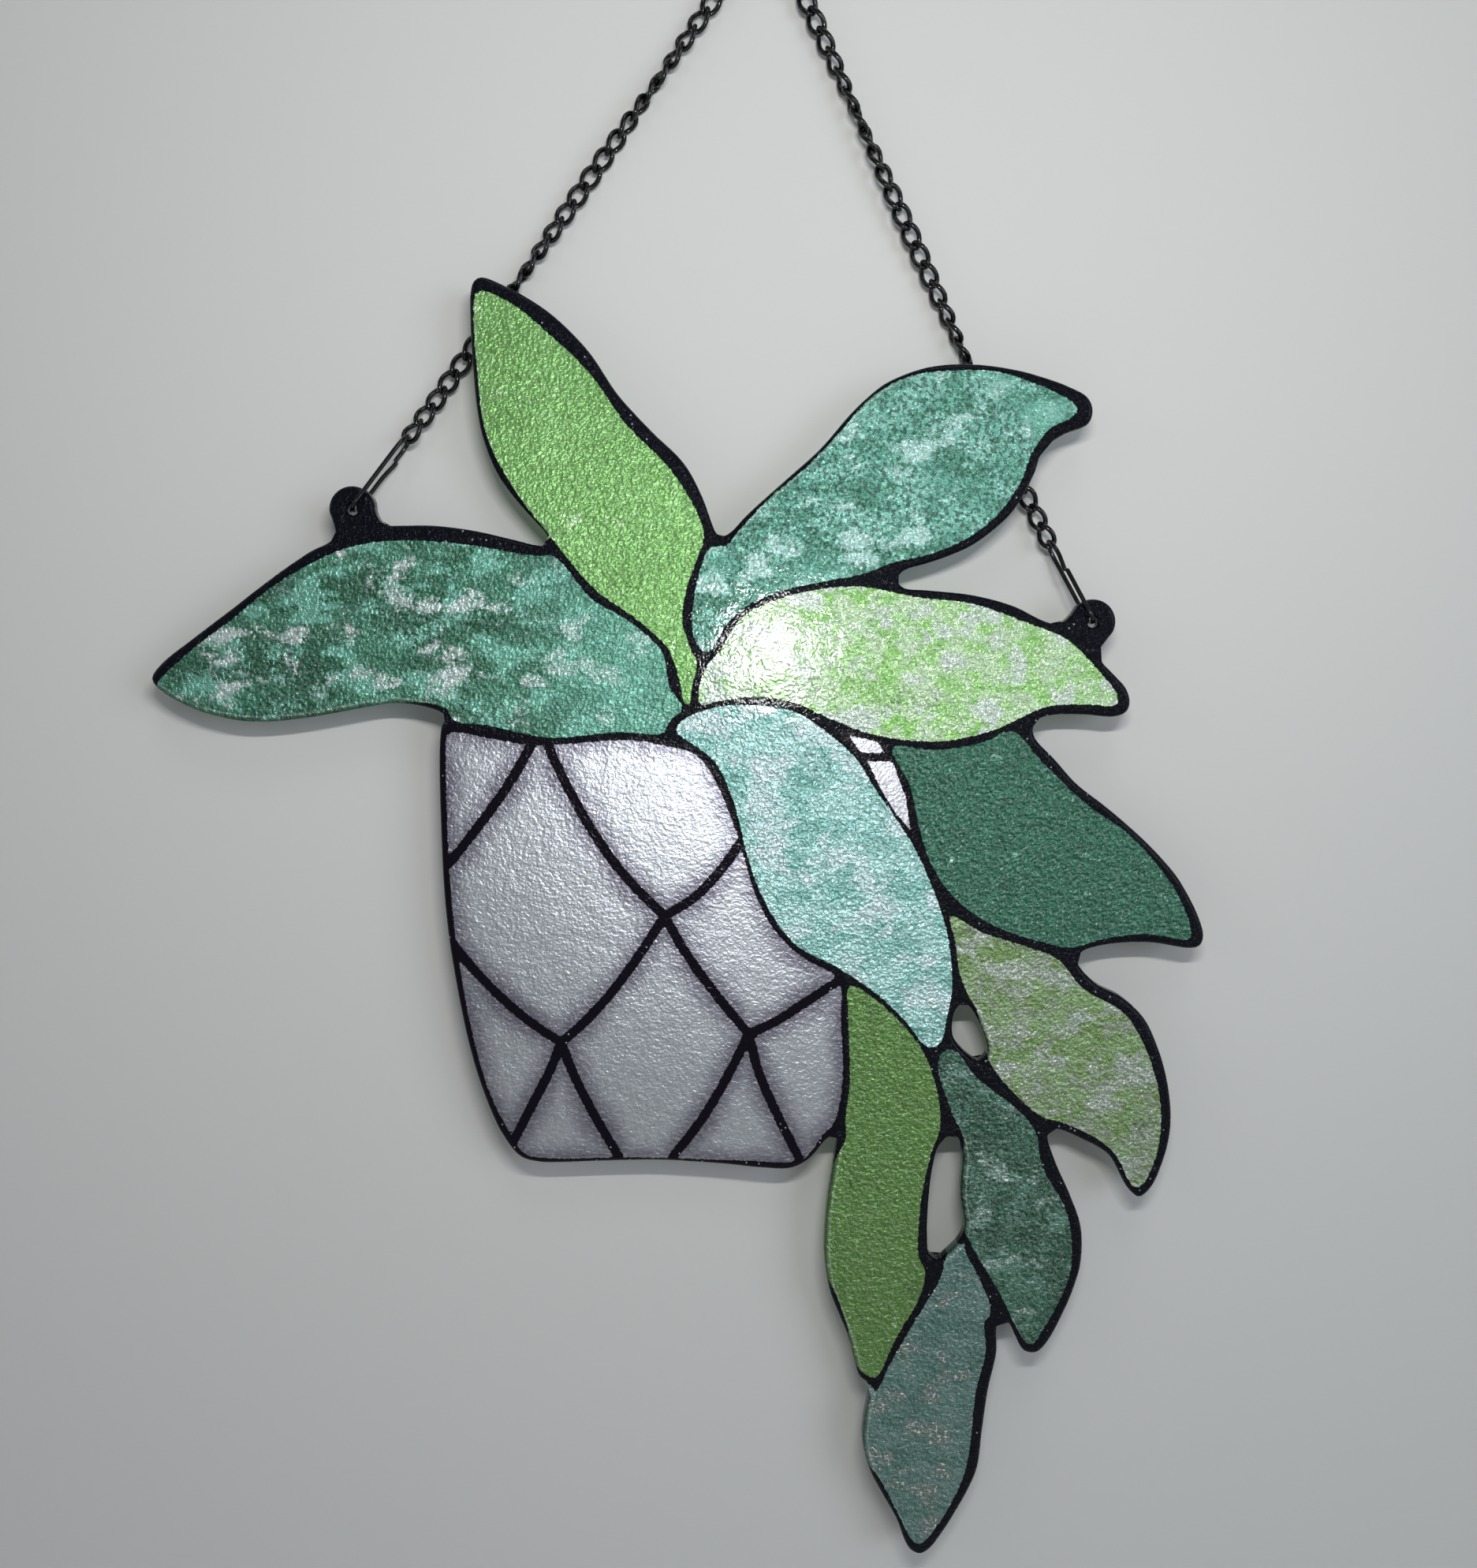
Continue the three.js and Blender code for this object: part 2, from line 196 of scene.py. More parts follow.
def makeMottling():  # torn patches of four tones, with dark pepper, painted white glints, a painted glow towards one side, and painted shade and highlight along the relief's slopes over them
    group, given, out = newGroup(
        "mottling",
        [("Base", tint, (0.1, 0.4, 0.3, 1)), ("Deep", tint, (0.05, 0.2, 0.15, 1)),
         ("Pale", tint, (0.4, 0.7, 0.6, 1)), ("Frost", tint, (0.8, 0.8, 0.8, 1)),
         ("Patch", number, 4.0), ("Wide", number, 0.75), ("DeepShare", number, 0.5),
         ("PaleShare", number, 0.4), ("FrostShare", number, 0.2), ("Pepper", number, 0.5),
         ("Crease", number, 0.3), ("Lit", number, 0.5),
         ("Fade", number, 999.0), ("Seed", number, 0.0)],
        [("Color", tint)])
    seeded = addNode(group, "ShaderNodeCombineXYZ", {"X": given["Seed"], "Y": given["Seed"]}).outputs[0]
    flat = addNode(group, "ShaderNodeVectorMath", {0: onSheet(group), 1: seeded}, operation="ADD").outputs[0]
    widened = addNode(group, "ShaderNodeCombineXYZ", {"X": given["Wide"]}, {"Y": 1.0}).outputs[0]
    place = addNode(group, "ShaderNodeVectorMath", {0: flat, 1: widened}, operation="MULTIPLY").outputs[0]
    size = maths(group, "DIVIDE", 1.0, given["Patch"])
    grit = maths(group, "SUBTRACT", noise(group, flat, 1.35, 2.5, 0.65), 0.5)
    torn = maths(group, "MULTIPLY", grit, 0.22)

    def patches(shift, share, grow, edge, detail=4.0, rough=0.6):
        moved = addNode(group, "ShaderNodeVectorMath", {0: place}, {1: shift}, operation="ADD").outputs[0]
        wave = noise(group, moved, maths(group, "MULTIPLY", size, grow), detail, rough)
        wave = maths(group, "ADD", wave, torn)
        level = maths(group, "SUBTRACT", 0.72, maths(group, "MULTIPLY", share, 0.44))
        return softStep(group, wave, maths(group, "SUBTRACT", level, edge), maths(group, "ADD", level, edge))

    deep = patches((0, 0, 0), given["DeepShare"], 1.0, 0.03)
    small = maths(group, "MULTIPLY", patches((19, 53, 0), given["DeepShare"], 2.3, 0.05, 3.0), 0.55)
    pale = maths(group, "MULTIPLY", patches((37, 11, 0), given["PaleShare"], 1.3, 0.05), 0.85)
    frost = patches((71, 23, 0), given["FrostShare"], 1.0, 0.06)
    tone = blendColours(group, maths(group, "MAXIMUM", deep, small), given["Base"], given["Deep"])
    tone = blendColours(group, pale, tone, given["Pale"])
    tone = blendColours(group, frost, tone, given["Frost"])
    dots = softStep(group, noise(group, flat, 1.4, 1.0, 0.5, 0.3), 0.49, 0.57)
    where = patches((13, 47, 0), given["Pepper"], 0.45, 0.12, 2.0, 0.5)
    dark = blendColours(group, 0.7, given["Deep"], (0.0, 0.02, 0.012, 1.0))
    bare = maths(group, "SUBTRACT", 1.0, maths(group, "MULTIPLY", frost, 0.8))
    peppered = maths(group, "MULTIPLY", maths(group, "MULTIPLY", dots, where), bare)
    tone = blendColours(group, maths(group, "MULTIPLY", peppered, 0.78), tone, dark)
    # painted highlight: tiny white glints, stronger in the frost patches
    paintedGlints = softStep(group, noise(group, flat, 2.1, 1.5, 0.6), 0.56, 0.7)
    share = maths(group, "ADD", maths(group, "MULTIPLY", frost, 0.4), 0.12)
    tone = blendColours(group, maths(group, "MULTIPLY", paintedGlints, share), tone, (1, 1, 1, 1))
    # painted glow: the tone pales to the right from the place across that Fade gives
    across = addNode(group, "ShaderNodeSeparateXYZ", {"Vector": onSheet(group)}).outputs["X"]
    paintedGlow = softStep(group, across, given["Fade"], maths(group, "ADD", given["Fade"], 26.0), 0.0, 0.6)
    tone = blendColours(group, paintedGlow, tone, given["Pale"])
    # painted shade and highlight on the relief's slopes
    group.links.new(paintedReliefLight(group, tone, given["Lit"], given["Crease"]), out["Color"])
    return group


def paintedReliefLight(tree, tone, lit, strength):  # painted shade and highlight: a tone that darkens and lightens with the relief's slopes, as if lit from above
    low = blendColours(tree, strength, tone, (0, 0, 0, 1))
    high = blendColours(tree, maths(tree, "MULTIPLY", strength, 0.35), tone, (1, 1, 1, 1))
    return blendColours(tree, lit, low, high)


def makeSilver():  # silver print, darker towards its black lines, with pale slanting streaks painted as the crinkles' sparkle, and painted shade and highlight along the relief's slopes
    group, given, out = newGroup(
        "silverPrint",
        [("Silver", tint, (0.7, 0.7, 0.75, 1)), ("Shade", tint, (0.3, 0.3, 0.35, 1)),
         ("Ink", number, 0.0), ("Reach", number, 3.6), ("Crease", number, 0.05), ("Lit", number, 0.5)],
        [("Color", tint)])
    slow = maths(group, "SUBTRACT", noise(group, onSheet(group), 0.11, 2), 0.5)
    slow = maths(group, "MULTIPLY", slow, 2.6)
    near = maths(group, "DIVIDE", maths(group, "ADD", given["Ink"], slow), given["Reach"])
    tone = blendColours(group, softStep(group, near, -0.15, 1.0, 1.0, 0.0), given["Silver"], given["Shade"])
    slanting = noise(group, onSheet(group, -32, (0.55, 1.5)), 1.5, 3, 0.7)
    # painted sparkle: pale slanting streaks along the crinkles
    paintedSparkle = softStep(group, slanting, 0.46, 0.7, 0.0, 0.22)
    tone = blendColours(group, paintedSparkle, tone, (0.95, 0.95, 1.0, 1))
    # painted shade and highlight on the relief's slopes
    group.links.new(paintedReliefLight(group, tone, given["Lit"], given["Crease"]), out["Color"])
    return group


def makePaintedRimLight():  # painted rim light: a printed colour that reaches the rim darkens there as painted shade of the rounded edge, beside a thin pale line painted as the edge's highlight
    group, given, out = newGroup(
        "paintedRimLight", [("Tone", tint, (0.5, 0.5, 0.5, 1)), ("Rim Depth", number, 9.0)], [("Color", tint)])
    outer = softStep(group, given["Rim Depth"], 0.1, 0.5, 0.75, 0.0)
    # painted shade of the rounded edge
    tone = blendColours(group, outer, given["Tone"], (0.02, 0.05, 0.035, 1))
    rise = softStep(group, given["Rim Depth"], 0.55, 0.75)
    fall = softStep(group, given["Rim Depth"], 0.85, 1.05, 0.16, 0.0)
    # painted highlight line along the edge
    line = blendColours(group, maths(group, "MULTIPLY", rise, fall), tone, (0.75, 0.85, 0.8, 1))
    group.links.new(line, out["Color"])
    return group


printedLine, hammered, mottling = makePrintedLine(), makeHammered(), makeMottling()
silverPrint, paintedRimLight = makeSilver(), makePaintedRimLight()
print("shared effects made")


# The glass sheet
glass = {
    "backY": -1.9, "thickness": 3.0, "edgeRound": 0.7,
    "rimStep": 0.6, "frontStep": 0.52, "backStep": 2.6, "backFineStep": 0.6, "fineBand": 0.8,
    "reliefCells": (2.3, 1.15), "reliefHeights": (0.02, 0.012), "reliefFade": 1.2,
    "lineHalfWidth": 0.74, "farFromPane": 2.5, "seed": 5,
}

# Coloured areas as (x, z); all that lies between them is black
paneOutlines = {
    "leftLeaf": [
        (-91.5, -108.3), (-90, -106.4), (-85.7, -102.7), (-79.6, -98.2), (-73.5, -93.5), (-67.6, -90.1),
        (-61.6, -87.7), (-54.5, -86.8), (-44, -87.5), (-34.2, -89.1), (-32.2, -88.9), (-30.3, -90.5),
        (-26.5, -95.2), (-20.6, -98.8), (-15.8, -103.4), (-14.9, -108.3), (-12.9, -111.7), (-15, -113.6),
        (-15.5, -115.2), (-22.8, -115.2), (-32.7, -116), (-42, -114.2), (-47.2, -113.4), (-48.1, -111.7),
        (-53.2, -110.7), (-59.9, -111.6), (-67, -113.8), (-74.9, -114.8), (-82.7, -114), (-88.6, -111.2)],
    "limeLeaf": [
        (-42.6, -51.6), (-41.8, -51.1), (-37.6, -52.8), (-31.8, -57.4), (-26.1, -62.9), (-20.9, -70.1),
        (-15.6, -75.3), (-11.8, -80.5), (-9.6, -86), (-10.6, -89.4), (-12.3, -94.2), (-12.8, -99),
        (-11.2, -103.7), (-10.7, -104.6), (-11.5, -108.7), (-11.8, -111.1), (-12.5, -111.1),
        (-13.2, -107.8), (-14.9, -102.9), (-19.7, -98.3), (-25.5, -94.2), (-31.9, -86.7), (-36.8, -80.3),
        (-41.3, -71.8), (-42.6, -61.6), (-42.9, -54.1)],
    "upperRightLeaf": [
        (-8.6, -87.8), (-6.3, -87.6), (-4.6, -85.6), (0.1, -80.6), (5.2, -76.4), (10.3, -71.2),
        (14.9, -66.2), (20.4, -63.2), (26.4, -62.4), (32.9, -62.5), (39, -64.3), (43.9, -66.6),
        (45.1, -67.8), (44.2, -69.1), (41.2, -70.5), (38.5, -74.2), (37, -78.3), (34, -82.7), (29.9, -86.1),
        (24.1, -88.7), (18.4, -90), (14.2, -91.6), (8.1, -92.8), (1.5, -94.3), (-3.6, -96.6), (-6.5, -99.4),
        (-8.5, -102.9), (-9.7, -103.2), (-11.2, -100.8), (-11.2, -96.1), (-10, -90.5)],
    "rightLeaf": [
        (-8.5, -104.4), (-7.1, -102.9), (-4.1, -98.2), (1.5, -95.4), (8.6, -93.8), (14.7, -93.7),
        (21.8, -95.1), (30.3, -96.1), (38.9, -99.1), (44.3, -101.3), (49.5, -106.3), (52.2, -109.8),
        (52, -111.1), (47.2, -111), (41.5, -111.4), (34, -114.8), (27.4, -116.4), (20.7, -116.4),
        (14.5, -115.2), (8.7, -112.9), (4, -110.8), (-1.7, -109.9), (-7.4, -110.5), (-10.2, -111.1),
        (-10.5, -110), (-9.8, -106.5)],
    "centreLeaf": [
        (-13.9, -115.1), (-13.1, -113.6), (-8, -111.5), (-1.1, -111.2), (4, -112.2), (9.1, -115.5),
        (13.4, -119.5), (16.1, -123.8), (21.6, -131.9), (25.9, -141.3), (27.7, -147.9), (28.2, -155.1),
        (27.4, -159.6), (26.8, -162.8), (25.4, -164), (24, -163.4), (21.4, -160), (17.5, -156.1),
        (11, -151.5), (4.3, -147.8), (0.1, -142.2), (-2.7, -135.5), (-5.3, -125.6), (-8, -119.7),
        (-11.6, -116.8)],
    "potRimCorner": [
        (11.9, -115.6), (16.3, -116.6), (17.4, -118.3), (14, -118.3)],
    "potRimWedge": [
        (14.9, -119.6), (18.6, -119.6), (20.7, -125), (21.5, -130.1), (19, -127.1), (17, -123.8)],
    "darkLeaf": [
        (18.6, -117.5), (25.2, -117.9), (32.6, -116.6), (35.7, -115.1), (37.2, -115.3), (40.7, -119.2),
        (48, -126.1), (53.9, -130.2), (59.6, -136.1), (63.3, -142), (64.6, -146.6), (64, -147),
        (58, -146.1), (51.5, -146.8), (45.9, -148.2), (42.2, -147.4), (34.9, -145), (29, -141.1),
        (25.2, -136.1), (23, -130.2), (21.3, -123.2)],
    "oliveLeaf": [
        (27.7, -143.2), (32.6, -145.8), (39.9, -148.2), (44.3, -150), (48.3, -154.6), (54.5, -158.3),
        (57, -161.7), (59.5, -167.4), (61, -174.7), (60.4, -181.3), (58.5, -185.9), (57.5, -186.5),
        (56.6, -185.8), (54.5, -181.6), (51.4, -178.6), (44.9, -175.6), (42.8, -175.1), (38.8, -171.9),
        (34.3, -166.3), (33.2, -162.2), (31.9, -157.5), (30.8, -155.7), (29.3, -152), (28.6, -147.1)],
    "tealLeaf": [
        (28.1, -164.2), (29.2, -164.7), (32.3, -168.7), (38.9, -174), (41.7, -177.6), (42.7, -182.8),
        (46.6, -190), (47.7, -195.7), (47.3, -201.5), (44, -208.9), (41.6, -212.4), (39.9, -210.4),
        (36.7, -203.9), (32.6, -196.9), (31.1, -194), (29.8, -192.1), (29.4, -187.6), (29.6, -183.1),
        (30.5, -180.1), (30.5, -178.4), (28.9, -175), (26.6, -168.7), (26.3, -166.3), (26.9, -164.7)],
    "longLeaf": [
        (12.4, -154.2), (13.4, -154.3), (19.3, -158.8), (24.4, -165.5), (26.6, -173.1), (26.7, -177.2),
        (25.3, -181.3), (23.8, -190.4), (23.8, -198), (24.7, -199.7), (24.2, -203.9), (20.4, -211.1),
        (17.6, -217.5), (16.9, -217.9), (14.8, -216.5), (13.8, -215.3), (13.2, -212.4), (12.8, -209.6),
        (10.9, -204.1), (9, -199.9), (8.4, -195), (8.9, -188.5), (10.4, -182.4), (12.2, -178.3),
        (12.1, -175), (12.7, -169.7), (12.4, -159.8)],
    "bottomLeaf": [
        (27.8, -198.9), (28.4, -197), (29.9, -195.7), (30.9, -195.6), (31, -196.9), (32.7, -200),
        (35.2, -206.2), (35.1, -207.5), (34.3, -208.3), (34.6, -213.3), (33.1, -220.4), (32.4, -229.3),
        (31.4, -234.7), (27.4, -243), (24.6, -246.2), (23.5, -245.6), (21.4, -241.5), (17.1, -233.5),
        (14.7, -231.8), (14.4, -228.5), (14.6, -224.4), (15.4, -220.7), (17.3, -220.1), (19.5, -215.5),
        (23.5, -208.1), (27.3, -201.1)],
    "pot": [
        (-48.2, -115.6), (-47.3, -115.2), (-41.6, -116.2), (-36, -117.1), (-30.3, -117), (-21.3, -116.4),
        (-15.2, -117.3), (-11.1, -118.5), (-8.3, -122), (-4.8, -130.5), (-1.7, -140.6), (1.7, -146.4),
        (5.9, -150.1), (10.2, -152.5), (11.2, -154.3), (11.2, -159.2), (11.6, -167.8), (11, -173.7),
        (10.2, -176.1), (8.6, -177.8), (5.9, -181.6), (4.4, -182.2), (-6.1, -181.9), (-21.9, -181.5),
        (-36, -181.5), (-37.9, -180.8), (-39.9, -177.6), (-43, -171), (-45.3, -162.3), (-46.9, -152.8),
        (-47.9, -144.3), (-48.4, -134.9), (-48.5, -120)],
}
sharpPanes = ("potRimCorner", "potRimWedge")
potLattice = [
    [(-35.6, -117.1), (-39.1, -123), (-44, -129.7), (-48.4, -135.2)],
    [(-33.2, -117.1), (-30.5, -123), (-26.6, -130.2), (-21.9, -136.9), (-15.8, -143.3)],
    [(-4, -131.7), (-7.6, -136.7), (-11.2, -140.4), (-15.8, -143.3)],
    [(-15.8, -143.3), (-19.5, -149.1), (-24.2, -155.5), (-28.5, -160.2), (-31.8, -163.1)],
    [(-15.8, -143.3), (-12.2, -149.6), (-7.6, -156), (-2.9, -161.8)],
    [(-48.2, -147.5), (-44.9, -151.7), (-40.4, -156.5), (-35.7, -160.5), (-31.8, -163.1)],
    [(-31.8, -163.1), (-33.7, -167.8), (-36.5, -173.2), (-39.5, -179)],
    [(-31.8, -163.1), (-30.1, -167.8), (-27.1, -174.2), (-23.1, -181.4)],
    [(-2.9, -161.8), (1.3, -159.7), (5.9, -156.7), (10.9, -153.3)],
    [(-2.9, -161.8), (-6.1, -168.3), (-10.2, -175.4), (-14.8, -181.5)],
    [(-2.9, -161.8), (-1.4, -167.8), (1.3, -174.2), (5, -181.8)],
]


def smoothLine(points, step, closed=True):  # centripetal spline through the points, evenly spaced
    points = np.asarray(points, float)
    if closed:
        padded = np.vstack([points[-1], points, points[0], points[1]])
    else:
        padded = np.vstack([2 * points[0] - points[1], points, 2 * points[-1] - points[-2]])
    dense = []
    for i in range(len(padded) - 3):
        p0, p1, p2, p3 = padded[i:i + 4]
        gaps = [math.sqrt(np.linalg.norm(b - a)) for a, b in ((p0, p1), (p1, p2), (p2, p3))]
        t0, t1, t2, t3 = np.cumsum([0] + [max(1e-6, gap) for gap in gaps])
        t = np.linspace(t1, t2, 12, endpoint=False)[:, None]
        a1 = (t1 - t) / (t1 - t0) * p0 + (t - t0) / (t1 - t0) * p1
        a2 = (t2 - t) / (t2 - t1) * p1 + (t - t1) / (t2 - t1) * p2
        a3 = (t3 - t) / (t3 - t2) * p2 + (t - t2) / (t3 - t2) * p3
        b1 = (t2 - t) / (t2 - t0) * a1 + (t - t0) / (t2 - t0) * a2
        b2 = (t3 - t) / (t3 - t1) * a2 + (t - t1) / (t3 - t1) * a3
        dense.append((t2 - t) / (t2 - t1) * b1 + (t - t1) / (t2 - t1) * b2)
    dense = np.vstack(dense + ([dense[0][:1]] if closed else [points[-1:]]))
    run = np.concatenate([[0], np.cumsum(np.linalg.norm(np.diff(dense, axis=0), axis=1))])
    count = max(8, round(run[-1] / step))
    at = np.linspace(0, run[-1], count + 1)[:-1 if closed else None]
    return np.column_stack([np.interp(at, run, dense[:, k]) for k in range(dense.shape[1])])


def lineDistance(places, line, closed=True):
    start = line if closed else line[:-1]
    end = np.roll(line, -1, axis=0) if closed else line[1:]
    way = end - start
    lengths = (way ** 2).sum(1) + 1e-12
    best = np.empty(len(places))
    for i in range(0, len(places), 4000):
        gap = places[i:i + 4000, None, :] - start[None]
        share = np.clip((gap * way).sum(2) / lengths, 0, 1)
        best[i:i + 4000] = np.sqrt(((gap - share[..., None] * way) ** 2).sum(2).min(1))
    return best


def isInside(places, line):
    x, z = places[:, 0], places[:, 1]
    inside = np.zeros(len(places), bool)
    last = line[-1]
    for here in line:
        crosses = (here[1] > z) != (last[1] > z)
        if crosses.any():
            edge = (last[0] - here[0]) * (z - here[1]) / (last[1] - here[1] + 1e-15) + here[0]
            inside ^= crosses & (x < edge)
        last = here
    return inside


def signedDistance(places, line):  # positive inside
    return np.where(isInside(places, line), 1, -1) * lineDistance(places, line)


def rimLoops():  # the sheet's outline, its gaps and its ear holes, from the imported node's widest line
    mesh = frame["nodes"]["glass_sheet"].data
    places = [tuple(round(1000 * c, 3) for c in v.co) for v in mesh.vertices]
    widest = glass["backY"] - glass["edgeRound"]
    beside = {}
    for face in mesh.polygons:
        for a, b in face.edge_keys:
            a, b = places[a], places[b]
            if a != b and abs(a[1] - widest) < 0.01 and abs(b[1] - widest) < 0.01:
                beside.setdefault(a, set()).add(b)
                beside.setdefault(b, set()).add(a)
    loops, left = [], set(beside)
    while left:
        here = min(left)
        loop = []
        while here is not None:
            loop.append((here[0], here[2]))
            left.discard(here)
            here = next((n for n in sorted(beside[here]) if n in left), None)
        loops.append(np.array(loop))
    loops.sort(key=len, reverse=True)
    for i, loop in enumerate(loops):
        area = (loop[:, 0] * np.roll(loop[:, 1], -1) - np.roll(loop[:, 0], -1) * loop[:, 1]).sum()
        if (area > 0) != (i == 0):  # glass lies to the left of every loop
            loops[i] = loop[::-1]
    return [smoothLine(loop, glass["rimStep"]) for loop in loops]


def inwards(loop, inset):
    along = np.roll(loop, -1, axis=0) - np.roll(loop, 1, axis=0)
    along /= np.linalg.norm(along, axis=1)[:, None]
    return loop + inset * np.column_stack([-along[:, 1], along[:, 0]])


def isGlass(places, loops):
    inside = isInside(places, loops[0])
    for loop in loops[1:]:
        inside &= ~isInside(places, loop)
    return inside


def gridIn(loops, step, margin):  # evenly spaced places in the glass and how far each is from the rim
    low, high = loops[0].min(0), loops[0].max(0)
    random = np.random.default_rng(glass["seed"])
    kept = []
    for i, z in enumerate(np.arange(low[1], high[1], step * math.sqrt(3) / 2)):
        crossings = []
        for loop in loops:
            ahead = np.roll(loop, -1, axis=0)
            hit = (loop[:, 1] > z) != (ahead[:, 1] > z)
            share = (z - loop[hit, 1]) / (ahead[hit, 1] - loop[hit, 1])
            crossings += (loop[hit, 0] + share * (ahead[hit, 0] - loop[hit, 0])).tolist()
        xs = np.arange(low[0] + (i % 2) * step / 2, high[0], step)
        xs = xs[np.searchsorted(sorted(crossings), xs) % 2 == 1]
        kept.append(np.column_stack([xs, np.full(len(xs), z)]))
    spots = np.vstack(kept)
    spots += random.uniform(-0.12, 0.12, spots.shape) * step
    rim = np.vstack(loops)
    tree = KDTree(len(rim))
    for i, (x, z) in enumerate(rim):
        tree.insert((x, z, 0), i)
    tree.balance()
    depth = np.array([tree.find((x, z, 0))[2] for x, z in spots])
    keep = depth > margin
    return spots[keep], depth[keep]


def printAt(places):  # how far inside its pane each place is, and which pane that is
    values = np.full((len(paneOutlines), len(places)), -glass["farFromPane"])
    for row, (name, outline) in zip(values, paneOutlines.items()):
        line = np.array(outline) if name in sharpPanes else smoothLine(outline, 1.0)
        low, high = line.min(0) - glass["farFromPane"], line.max(0) + glass["farFromPane"]
        close = ((places > low) & (places < high)).all(1)
        near = places[close]
        depth = signedDistance(near, line)
        if name == "pot":
            for stroke in potLattice:
                gap = lineDistance(near, smoothLine(stroke, 1.5, False), False)
                depth = np.minimum(depth, gap - glass["lineHalfWidth"])
        row[close] = depth
    return values.max(0), values.argmax(0)


def latticeNoise(places, cell, random):
    spots = places / cell
    table = random.uniform(-1, 1, (128, 128))
    base = np.floor(spots).astype(int)
    part = spots - base
    part = part * part * (3 - 2 * part)

    def corner(dx, dz):
        return table[(base[:, 0] + dx) % 128, (base[:, 1] + dz) % 128]
    low = corner(0, 0) * (1 - part[:, 0]) + corner(1, 0) * part[:, 0]
    high = corner(0, 1) * (1 - part[:, 0]) + corner(1, 1) * part[:, 0]
    return low * (1 - part[:, 1]) + high * part[:, 1]


def relief(places, depth):
    random = np.random.default_rng(glass["seed"] + 1)
    turned = places @ np.array([[0.8, -0.6], [0.6, 0.8]])
    height = np.zeros(len(places))
    for cell, size in zip(glass["reliefCells"], glass["reliefHeights"]):
        height += size * latticeNoise(turned, cell, random)
        turned = turned @ np.array([[0.6, -0.8], [0.8, 0.6]])
    fade = np.clip((depth - glass["edgeRound"]) / glass["reliefFade"], 0, 1)
    return height * fade


def surface(ring, ringEdges, inner, loops):  # triangles over one flat side
    spots = np.vstack([ring, inner])
    made = delaunay_2d_cdt([Vector(p) for p in spots], ringEdges, [], 0, 1e-5)
    order = [first[0] for first in made[3]]
    faces = np.array([[order[i] for i in face] for face in made[2]])
    onRing = (faces < len(ring)).all(1)  # only these can lie outside the glass
    keep = ~onRing
    keep[onRing] = isGlass(spots[faces[onRing]].mean(1), loops)
    return faces[keep]


def buildGlass():
    loops = rimLoops()
    ringEdges, start = [], 0
    for loop in loops:
        n = len(loop)
        ringEdges += [(start + i, start + (i + 1) % n) for i in range(n)]
        start += n
    ringSize = start
    r, frontY = glass["edgeRound"], glass["backY"] - glass["thickness"]
    profile = [(a, glass["backY"] - r + r * math.sin(math.radians(a))) for a in (90, 55, 25, 0)]
    profile += [(a, frontY + r - r * math.sin(math.radians(a))) for a in (0, 22, 45, 68, 90)]
    rings = []
    for angle, y in profile:
        flat = np.vstack([inwards(loop, r * (1 - math.cos(math.radians(angle)))) for loop in loops])
        rings.append(np.column_stack([flat[:, 0], np.full(ringSize, y), flat[:, 1]]))
    edge = np.vstack(rings)
    front, frontDepth = gridIn(loops, glass["frontStep"], r + 0.55 * glass["frontStep"])
    coarse, _ = gridIn(loops, glass["backStep"], r + 0.5 * glass["backStep"])
    fine, _ = gridIn(loops, glass["backFineStep"], r + 0.55 * glass["backFineStep"])
    fineInk, _ = printAt(fine)
    back = np.vstack([fine[np.abs(fineInk) < glass["fineBand"]], coarse])
    frontHeight = relief(front, frontDepth)
    spots = np.vstack([
        edge, np.column_stack([front[:, 0], frontY - frontHeight, front[:, 1]]),
        np.column_stack([back[:, 0], np.full(len(back), glass["backY"]), back[:, 1]])])
    faces = []
    for ring in range(len(rings) - 1):
        low, high = ring * ringSize, (ring + 1) * ringSize
        for a, b in ringEdges:
            faces.append((low + a, low + b, high + b, high + a))
    frontRing, frontStart = (len(rings) - 1) * ringSize, len(edge)
    frontFaces = surface(rings[-1][:, [0, 2]], ringEdges, front, loops)
    backFaces = surface(rings[0][:, [0, 2]], ringEdges, back, loops)
    backStart = frontStart + len(front)
    frontFaces = np.where(frontFaces < ringSize, frontFaces + frontRing, frontFaces - ringSize + frontStart)
    backFaces = np.where(backFaces < ringSize, backFaces, backFaces - ringSize + backStart)[:, ::-1]
    faces += [tuple(f) for f in frontFaces.tolist()] + [tuple(f) for f in backFaces.tolist()]
    lowest, highest = (np.array(c) * 1000 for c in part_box("glass_sheet"))
    spots[:, [0, 2]] = np.clip(spots[:, [0, 2]], lowest[[0, 2]], highest[[0, 2]])
    mesh = bpy.data.meshes.new("glassPanel")
    mesh.from_pydata((spots * toMetres).tolist(), [], faces)
    flat = spots[:, [0, 2]]
    ink, pane = printAt(flat)
    mesh.attributes.new("ink", "FLOAT", "POINT").data.foreach_set("value", ink)
    insets = [r * (1 - math.cos(math.radians(a))) for a, _ in profile]
    depth = np.concatenate([np.repeat(insets, ringSize), frontDepth, np.full(len(back), 9.0)])
    mesh.attributes.new("rimDepth", "FLOAT", "POINT").data.foreach_set("value", depth)
    mesh.polygons.foreach_set("use_smooth", [True] * len(faces))
    mesh.polygons.foreach_set("material_index", [int(pane[face[0]]) for face in faces])
    mesh.validate()
    mesh.update()
    print("glass panel made,", len(faces), "faces", len(frontFaces), "front", len(backFaces), "back")
    return addToScene("glassPanel", mesh)


# Print finishes
black = {"speck": "#9a9da4", "roughness": 0.22, "ragged": 0.1}

